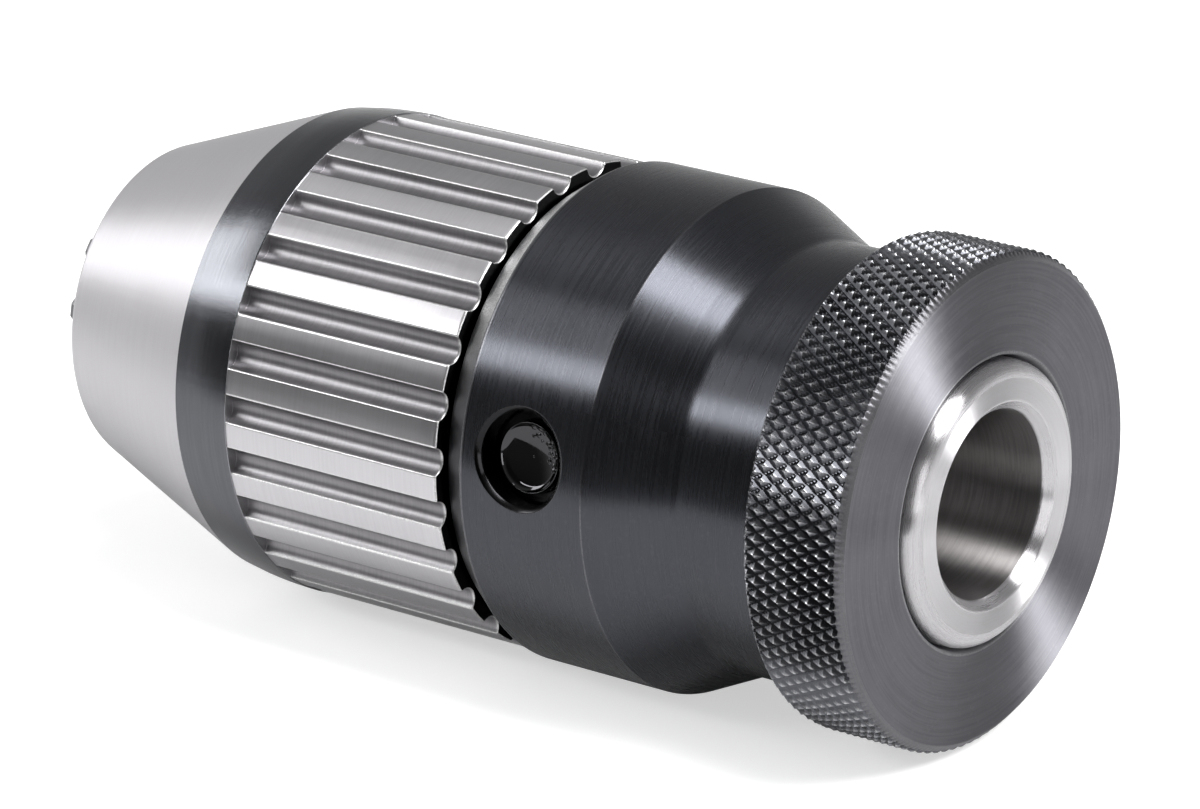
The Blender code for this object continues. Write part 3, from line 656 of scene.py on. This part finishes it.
# %% Sleeve
SLEEVE_BORE_R = 19.3
HOLE_R = 4.0
WINDOW = 5.1
BORE_WINDOW = (28.0, 37.4)
STEPS = 16
COLUMNS_BEYOND = 176
sleeve_s, sleeve_r, sleeve_edge = rounded_profile([
    (40.9, SLEEVE_BORE_R, 0.1), (40.9, 19.75, 0.3), (38.3, SLEEVE_R, 0.45), (26.0, SLEEVE_R, 0.25),
    (20.9, 19.1, 1.6), (19.0, 18.3, 2.0), (10.8, 18.3, 0.3), (10.8, 12.3, 0.1), (21.6, 12.3, 0.0),
    (21.6, 13.0, 0.0), (21.2, 13.5, 0.0), (21.2, 14.6, 0.0), (21.6, 15.1, 0.0), (21.6, 16.6, 0.0),
    (27.9, 16.6, 0.1), (27.9, SLEEVE_BORE_R, 0.0)], arc=6)
outer_at = int(np.argmax(sleeve_s < HOLE_STATION + WINDOW))
inner_at = len(sleeve_s)
sleeve_s, sleeve_r, sleeve_edge = with_window(
    sleeve_s, sleeve_r, sleeve_edge, inner_at, SLEEVE_BORE_R, *BORE_WINDOW, STEPS)
sleeve_s, sleeve_r, sleeve_edge = with_window(
    sleeve_s, sleeve_r, sleeve_edge, outer_at, SLEEVE_R, HOLE_STATION + WINDOW, HOLE_STATION - WINDOW, STEPS)
inner_at += STEPS + 1
half = WINDOW / SLEEVE_R
sleeve_angle = np.concatenate([
    HOLE_ANGLE + np.linspace(-half, half, STEPS + 1),
    np.linspace(HOLE_ANGLE + half, HOLE_ANGLE - half + 2 * np.pi, COLUMNS_BEYOND + 1)[1:-1]])
points, faces, uv, edge = pierced(
    sleeve_s, sleeve_r, sleeve_angle, sleeve_edge,
    ((outer_at, outer_at + STEPS), (inner_at, inner_at + STEPS)), (0, STEPS),
    [(4.5, SLEEVE_R, 0.0, 0.0), (4.42, SLEEVE_R, 0.0, 1.0), (4.38, SLEEVE_R, 0.03, 1.0),
     (4.02, SLEEVE_R, 0.37, 1.0), (HOLE_R, SLEEVE_R, 0.42, 0.5), (HOLE_R, SLEEVE_R, 0.6, 0.0),
     (HOLE_R, SLEEVE_BORE_R, -0.1, 0.0), (HOLE_R, SLEEVE_BORE_R, 0.0, 0.0),
     (4.06, SLEEVE_BORE_R, 0.0, 0.0)])
print("sleeve grid:", len(sleeve_s), "rows,", len(sleeve_angle), "columns")

# %% [markdown]
# The sleeve has three finishes: the black outside, the worn front chamfer, and a near-black that
# paints the shade in the spanner hole along with its oil. On the chamfer the edge attribute carries
# a painted highlight: strongest at one angle, it falls off as a bell curve, more slowly before it than after.

# %% Which face of the sleeve has which finish
CHAMFER_FROM = 38.4
CHAMFER_OVER_R = 19.6
HOLE_SIDE_OVER = 15.0
HIGHLIGHT_AT, HIGHLIGHT_BEFORE, HIGHLIGHT_AFTER = 131.0, 60.0, 17.0
middle = points[faces].mean(1)
station_of, radius_of = face_places(points, faces)
finish = ((station_of > CHAMFER_FROM + 0.05) & (radius_of > CHAMFER_OVER_R)).astype(int)
from_hole = np.hypot(middle @ SIDEWAYS, station_of - HOLE_STATION)
# The spanner hole's wall and rim take the near-black: oil, and painted shade in the hole.
finish[(middle @ OUTWARD > HOLE_SIDE_OVER) & (from_hole < HOLE_R + 0.45)] = 2
turn = np.degrees(np.arctan2(points[:, 2], points[:, 1]))
on_chamfer = (-points[:, 0] > CHAMFER_FROM) & (np.hypot(points[:, 1], points[:, 2]) > CHAMFER_OVER_R)
# The chamfer's painted highlight: bright at one angle round the sleeve, fading slowly before it and fast
# after.
highlight_share = np.exp(-((turn - HIGHLIGHT_AT) / np.where(turn < HIGHLIGHT_AT, HIGHLIGHT_BEFORE, HIGHLIGHT_AFTER)) ** 2)
edge = np.where(on_chamfer, highlight_share, edge)
dress(mesh_object("sleeve_body", points, faces, uv, finish=finish, edge=edge),
      "sleeve", "casing", "black_sleeve", sleeve_finish, chamfer_highlight_finish, oil_and_shade_finish)

# %% [markdown]
# ## Hood
# The hood is one piece of ground steel: a cone, a rounded band and 28 flutes for the fingers.
# A flute is a round-bottomed groove milled along the piece, which stops at the band. So the
# surface is a turned profile less a groove depth that depends on the angle, times a share
# that depends on the station. A groove's columns are a circle's arc, a small rounded corner
# and a few points on the land beside it.

# %% Flutes over the angle
FLUTES = 28
FIRST_LAND = math.radians(4.0)
GROOVE_R = 1.25
GROOVE_AT = 21.4
CORNER_MM = 0.13
LAND_MM = (0.22, 0.9)
ARC_COLUMNS = 6


def flute_columns():
    """Angles, depths and edge marks over one pitch: land, a small rounded corner, the arc of a circle that
    lies GROOVE_AT from the axis, and back. The corner is the parabola between its two ends whose sides
    meet in the sharp corner."""
    pitch = 2 * np.pi / FLUTES
    meet = math.acos((HOOD_R ** 2 + GROOVE_AT ** 2 - GROOVE_R ** 2) / (2 * HOOD_R * GROOVE_AT))
    low = math.asin(HOOD_R * math.sin(meet) / GROOVE_R)
    corner = np.array([HOOD_R * math.cos(meet), HOOD_R * math.sin(meet)])
    land_angle = meet + CORNER_MM / HOOD_R
    land = np.array([HOOD_R * math.cos(land_angle), HOOD_R * math.sin(land_angle)])
    wall_angle = low - CORNER_MM / GROOVE_R
    wall = np.array([GROOVE_AT - GROOVE_R * math.cos(wall_angle), GROOVE_R * math.sin(wall_angle)])
    t = np.linspace(0.0, 1.0, 5)[:, None]
    bend = (1 - t) ** 2 * wall + 2 * t * (1 - t) * corner + t ** 2 * land
    floor = np.linspace(0.0, wall_angle, ARC_COLUMNS + 1)[:-1]
    arc = np.stack([GROOVE_AT - GROOVE_R * np.cos(floor), GROOVE_R * np.sin(floor)], -1)
    beside = meet + np.array(LAND_MM) / HOOD_R
    flat = HOOD_R * np.stack([np.cos(beside), np.sin(beside)], -1)
    side = np.concatenate([arc, bend, flat])
    r, d = np.hypot(side[:, 0], side[:, 1]), np.arctan2(side[:, 1], side[:, 0])
    mark = np.concatenate([np.zeros(ARC_COLUMNS), [0.3, 1, 1, 1, 0.3], np.zeros(len(LAND_MM))])
    angle = np.concatenate([-d[:0:-1], d, [pitch / 2]])
    depth = HOOD_R - np.concatenate([r[:0:-1], r, [HOOD_R]])
    mark = np.concatenate([mark[:0:-1], mark, [0.0]])
    starts = FIRST_LAND + pitch / 2 + pitch * np.arange(FLUTES)[:, None]
    return (starts + angle).ravel(), np.tile(depth, FLUTES), np.tile(mark, FLUTES)


hood_angle, flute_depth, flute_mark = flute_columns()
print(f"flutes: {len(hood_angle)} columns, {flute_depth.max():.2f} mm deep")

# %% [markdown]
# The profile's rows carry a share of the flutes' depth. The flutes are at full depth up to an
# upright wall under the band's edge, and the scalloped rear face comes from rows that still
# carry the whole share. The band stands 0.07 mm proud of the lands, which gives the flutes'
# ends a clean line. Behind the scallops the hood goes on as a spigot inside the sleeve.

# %% Profile of the hood
LAND_R = HOOD_R - 0.07
BAND_DROP = 0.53
SPIGOT_R = 19.0
SPIGOT_BORE_R = 17.4
front_s, front_r, front_edge = rounded_profile([
    (86.5, 11.32, 0.0), (NOSE_FRONT, 11.62, 0.1), (NOSE_FRONT, 14.25, 0.9), (BAND_FRONT, 20.62, 1.2),
    (66.5, 20.99, 0.0), (50.0, 15.0, 0.0)], arc=6)
cut = int(np.argmax(front_s < 67.0))
band = np.linspace(67.5, 63.75, 6)
band_r = HOOD_R - BAND_DROP * ((band - BAND_REAR) / (BAND_FRONT - BAND_REAR)) ** 2
# Station, radius, share of the flutes' depth and edge mark, from the band's edge to the scalloped face.
fluted = np.array([
    (63.62, HOOD_R, 0.0, 0.7), (BAND_REAR, 21.135, 0.0, 1.0), (BAND_REAR, 21.12, 0.02, 0.3),
    (BAND_REAR, LAND_R + 0.02, 0.97, 0.0), (BAND_REAR, LAND_R, 1.0, 0.0), (63.58, LAND_R, 1.0, 0.0),
    (58.0, LAND_R, 1.0, 0.0), (52.0, LAND_R, 1.0, 0.0), (46.0, LAND_R, 1.0, 0.0), (41.5, LAND_R, 1.0, 0.0),
    (41.34, LAND_R - 0.01, 1.0, 0.5), (41.26, LAND_R - 0.05, 1.0, 1.0), (41.21, LAND_R - 0.13, 1.0, 1.0),
    (HOOD_REAR, LAND_R - 0.25, 1.0, 0.0), (HOOD_REAR, 19.8, 0.0, 0.0), (HOOD_REAR, 19.04, 0.0, 0.0)])
tail = np.array([
    (41.15, SPIGOT_R), (37.5, SPIGOT_R), (28.7, SPIGOT_R), (28.2, 18.5), (28.2, SPIGOT_BORE_R),
    (28.3, SPIGOT_BORE_R), (60.0, SPIGOT_BORE_R), (69.79, SPIGOT_BORE_R)])
hood_s = np.concatenate([front_s[:cut], band, fluted[:, 0], tail[:, 0]])
profile_r = np.concatenate([front_r[:cut], band_r, fluted[:, 1], tail[:, 1]])
share = np.concatenate([np.zeros(cut + len(band)), fluted[:, 2], np.zeros(len(tail))])
line = np.concatenate([front_edge[:cut], np.zeros(len(band)), fluted[:, 3], np.zeros(len(tail))])
hood_r = profile_r[:, None] - share[:, None] * flute_depth[None, :]
hood_edge = np.maximum(line[:, None], share[:, None] * flute_mark[None, :])
print("hood profile:", len(hood_s), "rows")

# %% [markdown]
# The lock screw passes through the spigot. Its hole gets a window in the spigot's outer wall
# and one in its bore, on the columns that the flutes already have.

# %% Surface of the hood
SCREW_WINDOW = (36.2, 28.8)
SCREW_SIDE_MM = 3.9
SPIGOT_STEPS = 10
spigot_row = cut + len(band) + len(fluted) + 1
bore_row = spigot_row + 5
hood_s, hood_r, hood_edge = with_window(
    hood_s, hood_r, hood_edge, bore_row, SPIGOT_BORE_R, *SCREW_WINDOW[::-1], SPIGOT_STEPS)
hood_s, hood_r, hood_edge = with_window(
    hood_s, hood_r, hood_edge, spigot_row + 1, SPIGOT_R, *SCREW_WINDOW, SPIGOT_STEPS)
near_hole = np.flatnonzero(np.abs(hood_angle - HOLE_ANGLE) < SCREW_SIDE_MM / SPIGOT_R)
bore_row += SPIGOT_STEPS + 1
points, faces, uv, edge = pierced(
    hood_s, hood_r, hood_angle, hood_edge,
    ((spigot_row + 1, spigot_row + 1 + SPIGOT_STEPS), (bore_row, bore_row + SPIGOT_STEPS)),
    (int(near_hole[0]), int(near_hole[-1])),
    [(3.1, SPIGOT_R, 0.0, 0.0), (3.0, SPIGOT_R, 0.05, 0.0), (3.0, SPIGOT_BORE_R, -0.05, 0.0),
     (3.05, SPIGOT_BORE_R, 0.0, 0.0)])
print("hood grid:", len(hood_s), "rows,", len(hood_angle), "columns")

# %% [markdown]
# The hood's faces are shared out among its five finishes by station and distance from the
# axis. The flutes' end walls take the floors' finish, which hides them best.

# %% Which face of the hood has which finish
station_of, radius_of = face_places(points, faces)
on_flutes = (station_of < BAND_REAR - 0.001) & (station_of > HOOD_REAR + 0.03) & (radius_of > SPIGOT_R + 0.5)
# Faces inside the hood and at its rear end take the near-black: oil, and painted shade.
finish = np.full(len(faces), INSIDE)
finish[station_of >= BAND_FRONT] = CONE
on_band = (station_of < BAND_FRONT) & (station_of >= BAND_REAR - 0.001) & (radius_of > SPIGOT_BORE_R + 0.6)
finish[on_band] = BAND
finish[on_flutes] = np.where(radius_of[on_flutes] > LAND_R - 0.03, LAND, FLOOR)
finish[(np.abs(station_of - BAND_REAR) < 0.002) & (radius_of < LAND_R + 0.01)] = FLOOR
print("hood faces by finish:", np.bincount(finish).tolist())
dress(mesh_object("hood_body", points, faces, uv, finish=finish, edge=edge),
      "hood", "casing", "ground_steel", *hood_finishes)

# %% [markdown]
# ## Jaws
# The three jaws are milled to one drawing and ground, so all three are drawn from the first
# jaw's solid, turned a third of a turn each. The copy is merged into clean faces and its sharp
# edges are broken with a small bevel, as a fitter does with a stone.

# %% Jaws
EDGE_BREAK_MM = 0.15
SAME_SPOT = 1e-6
FLAT_WITHIN = math.radians(0.5)
SHARP_OVER = math.radians(30.0)


def milled_jaw(number):
    """The first jaw's solid with its flat faces joined and its sharp edges bevelled, turned into place."""
    name = f"jaw_{number}_body"
    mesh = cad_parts["jaw_1"].data.copy()
    mesh.name = name
    mesh.materials.clear()
    work = bmesh.new()
    work.from_mesh(mesh)
    bmesh.ops.remove_doubles(work, verts=work.verts, dist=SAME_SPOT)
    bmesh.ops.dissolve_limit(work, angle_limit=FLAT_WITHIN, verts=work.verts, edges=work.edges)
    work.transform(Matrix.Rotation((number - 1) * math.radians(120.0), 4, "X"))
    work.to_mesh(mesh)
    work.free()
    item = add_object(name, mesh)
    bevel = item.modifiers.new("broken_edges", "BEVEL")
    bevel.width = EDGE_BREAK_MM * MM
    bevel.segments = 2
    bevel.limit_method = "ANGLE"
    bevel.angle_limit = SHARP_OVER
    bevel.harden_normals = True
    mesh.shade_smooth()
    dress(item, f"jaw_{number}", f"jaw_{number}", "jaw_steel", jaw_finish)
    print(f"{name}: {len(mesh.polygons)} faces")


for number in (1, 2, 3):
    milled_jaw(number)

# %% [markdown]
# The other pieces lie inside, or show only at the nose and at the bottom of the spanner hole,
# so they keep the solids' own meshes and only take a finish.

# %% Finishes for the solids that are shown as they are
plain = {"jaw_guide": guide_finish, "lock_screw": screw_finish, "spindle": spindle_finish,
         "ball_cage": cage_finish}
plain.update({node: ball_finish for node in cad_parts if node.startswith("ball_") and node not in plain})
for node, material in plain.items():
    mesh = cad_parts[node].data
    mesh.materials.clear()
    mesh.materials.append(material)
print("shown as they are:", len(plain))

# %% [markdown]
# ## Oil in the spanner hole
# A puddle of dark oil covers the lock screw's head at the bottom of the spanner hole. It is a
# shallow dish with a raised lip where the oil creeps up at its rim, and a few bubbles near the
# lip. It is a thin closed disc: the same lathe makes it flat, and its height is then laid
# along the hole's axis.

# %% Oil film
FILM_FLOOR = 19.21
FILM_R = 3.02
FILM_MM = 0.1
CREEP_FROM, CREEP_OVER, CREEP_RISE = 2.3, 0.6, 0.3
BUBBLES = 30


def oil_height(reach_mm, turn):
    """Height over the film's floor: a dish that rises with the square of the reach, steeper in its last
    part where the oil creeps up, and small half-round bubbles near the rim."""
    creep = np.clip((reach_mm - CREEP_FROM) / CREEP_OVER, 0.0, 1.0)
    height = FILM_MM + 0.042 * reach_mm**2 + CREEP_RISE * creep**2
    rng = np.random.default_rng(5)
    bubbles = zip(rng.uniform(1.7, 2.6, BUBBLES), rng.uniform(-0.3, 1.7, BUBBLES),
                  rng.uniform(0.06, 0.17, BUBBLES))
    for out_mm, at, size in bubbles:
        gap = np.hypot(reach_mm * np.cos(turn) - out_mm * math.cos(at),
                       reach_mm * np.sin(turn) - out_mm * math.sin(at))
        height = height + np.sqrt(np.clip(size**2 - gap**2, 0.0, None)) * 0.7
    return height


reach_mm = np.concatenate([np.linspace(0.02, 1.6, 16), np.linspace(1.65, 2.95, 40), [3.0, FILM_R]])
turns = np.linspace(0.0, 2 * np.pi, 161)[:-1]
towards_rim = np.clip((FILM_R - reach_mm) / FILM_MM, 0.0, 1.0)[:, None]
film = oil_height(reach_mm[:, None], turns[None, :]) * towards_rim
film_height = np.concatenate([film, np.zeros((2, len(turns)))])
film_r = np.concatenate([reach_mm, [2.9, 0.02]])
local, faces, uv, edge = lathe(np.zeros(len(film_r)), film_r, turns, np.zeros(len(film_r)))
points = (film_height.reshape(-1, 1) + FILM_FLOOR) * OUTWARD - local[:, 2:] * SIDEWAYS
points += (local[:, 1:2] - HOLE_STATION) * REARWARD
film_body = mesh_object("oil_film", points, faces, uv)

# %% [markdown]
# The oil is a nearly black mirror. Its roughness varies a little in small patches, as dust
# settles on it.

# %% Look of the oil
oil, tree, shader = new_finish("dark_oil", {"Base Color": (0.06, 0.06, 0.063, 1.0), "Metallic": 1.0})
dusty = use_group(tree, patch_group, "Size mm", 0.8).outputs["Patch"]
tree.links.new(ramp(tree, dusty, 0.0, 1.0, 0.02, 0.08), shader.inputs["Roughness"])
film_body.data.materials.append(oil)
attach(film_body, "casing")
print("oil film rides on the casing")

# %% [markdown]
# ## Table and light
# The table is plain white and keeps the chuck's soft shadow. It glows a little to the camera
# only, so that it runs into the white background without lighting the chuck.

# %% Table
TABLE_REACH = 3.0
TABLE_FRONT = -0.105
TABLE_Z = -SLEEVE_R * MM
TABLE_GLOW = 0.55
table_mesh = bpy.data.meshes.new("table")
table_mesh.from_pydata([(-TABLE_REACH, TABLE_FRONT, TABLE_Z), (TABLE_REACH, TABLE_FRONT, TABLE_Z),
                        (TABLE_REACH, TABLE_REACH, TABLE_Z), (-TABLE_REACH, TABLE_REACH, TABLE_Z)],
                       [], [(0, 1, 2, 3)])
table = add_object("table", table_mesh)
table_finish, tree, shader = new_finish("white_table", {
    "Base Color": (0.62, 0.62, 0.62, 1.0), "Roughness": 0.9, "Specular IOR Level": 0.0,
    "Emission Color": (1.0, 1.0, 1.0, 1.0)})
seen = add_node(tree, "LightPath")
glow = maths(tree, "MULTIPLY", seen.outputs["Is Camera Ray"], TABLE_GLOW)
tree.links.new(glow, shader.inputs["Emission Strength"])
table_mesh.materials.append(table_finish)
print(f"table at z = {TABLE_Z * 1000:.1f} mm, under the sleeve")

# %% [markdown]
# Steel shows what is round it, so the lamps are large soft boxes. Two hang overhead and draw
# the light along the top of the hood and the bright fans on the ring's face. A weaker one
# beside the socket's end adds light to the end faces of the hub and the ring. Two stand at the
# front left and draw the bright line along the side of the chuck and its sharp lower edge.


# %% Lamps
def soft_box(name, back, side, middle, width, height, brightness):
    """A rectangular lamp at middle, whose light leaves against back; side is the way its width runs.
    Its power is pi times its width, height and brightness."""
    data = bpy.data.lights.new(name, "AREA")
    data.shape = "RECTANGLE"
    data.size, data.size_y = width, height
    data.energy = brightness * math.pi * width * height
    lamp = add_object(name, data)
    back, side = Vector(back).normalized(), Vector(side)
    side = (side - back * side.dot(back)).normalized()
    up = back.cross(side)
    lamp.rotation_euler = Matrix([[side[k], up[k], back[k]] for k in range(3)]).to_euler()
    lamp.location = middle
    print(f"{name}: {data.energy:.2f} W")


def side_box(name, turn, spread_deg, near_x, far_x, away, brightness):
    """A lamp beside the chuck, parallel to its axis: turn and spread are degrees round the axis from +Y."""
    back = (0.0, math.cos(math.radians(turn)), math.sin(math.radians(turn)))
    middle = ((near_x + far_x) / 2, back[1] * away, back[2] * away)
    height = 2 * away * math.tan(math.radians(spread_deg / 2))
    soft_box(name, back, (1.0, 0.0, 0.0), middle, near_x - far_x, height, brightness)


soft_box("overhead_box", (0.42, -0.10, 0.90), (1.0, 0.0, 0.0), (0.375, -0.08, 0.78), 0.85, 0.3, 11.0)
soft_box("overhead_rear_box", (0.70, 0.10, 0.70), (0.70, 0.0, -0.70), (0.54, 0.08, 0.56), 0.3, 0.3, 15.0)
soft_box("rear_side_box", (0.86, -0.45, 0.20), (0.5, 0.87, 0.0), (0.69, -0.36, 0.16), 0.25, 0.42, 4.0)
side_box("front_left_box", 123.0, 30.0, -0.675, -1.375, 0.7, 6.0)
side_box("front_left_edge", 144.0, 11.0, -0.25, -1.375, 0.7, 8.0)

# %% [markdown]
# The camera sees a white background. Reflections see a studio instead: pale near the table
# and brighter towards the nose, greyer above, and dark in two places where the room was unlit,
# in front of the chuck and beside its socket. Rays that light dull surfaces see one even grey.

# %% World
DARK_FRONT = (-0.084, -0.962, 0.259)
DARK_BESIDE = (0.86, -0.48, -0.12)
UNLIT = 0.14
DULL_LEVEL = 0.6
ROOM_LEVEL = 0.8
world = bpy.data.worlds.new("studio")
bpy.context.scene.world = world
world.use_nodes = True
tree = world.node_tree
tree.nodes.clear()
out = tree.nodes.new("ShaderNodeOutputWorld")
path = add_node(tree, "LightPath")
place = add_node(tree, "TexCoord")
parts = add_node(tree, "SeparateXYZ")
tree.links.new(place.outputs["Generated"], parts.inputs[0])


def dark_toward(direction, start, end):
    """1 away from a direction, falling to UNLIT as the view's product with it goes from start to end."""
    toward = add_node(tree, "VectorMath", operation="DOT_PRODUCT")
    toward.inputs[1].default_value = direction
    tree.links.new(place.outputs["Generated"], toward.inputs[0])
    return ramp(tree, toward.outputs["Value"], start, end, 1.0, UNLIT)


level = maths(tree, "ADD", ramp(tree, parts.outputs["Z"], -0.15, 0.45, 0.95, 0.4),
              ramp(tree, parts.outputs["X"], -0.95, -0.6, 0.35, 0.0))
dark = maths(tree, "MINIMUM", dark_toward(DARK_FRONT, 0.45, 0.78), dark_toward(DARK_BESIDE, 0.80, 0.90))
shiny = maths(tree, "MAXIMUM", path.outputs["Is Glossy Ray"], path.outputs["Is Transmission Ray"])
mirror = maths(tree, "MULTIPLY", shiny, maths(tree, "MULTIPLY", level, dark))
dull = maths(tree, "MULTIPLY", maths(tree, "SUBTRACT", 1.0, shiny), DULL_LEVEL)
strength = maths(tree, "MULTIPLY", maths(tree, "ADD", mirror, dull), ROOM_LEVEL)
camera_part = add_node(tree, "Mix", data_type="FLOAT")
tree.links.new(path.outputs["Is Camera Ray"], camera_part.inputs["Factor"])
tree.links.new(strength, camera_part.inputs[2])
camera_part.inputs[3].default_value = 1.0
glow = add_node(tree, "Background", {"Color": (1.0, 1.0, 1.0, 1.0)})
tree.links.new(camera_part.outputs[0], glow.inputs["Strength"])
tree.links.new(glow.outputs[0], out.inputs[0])
print("world nodes:", len(tree.nodes))
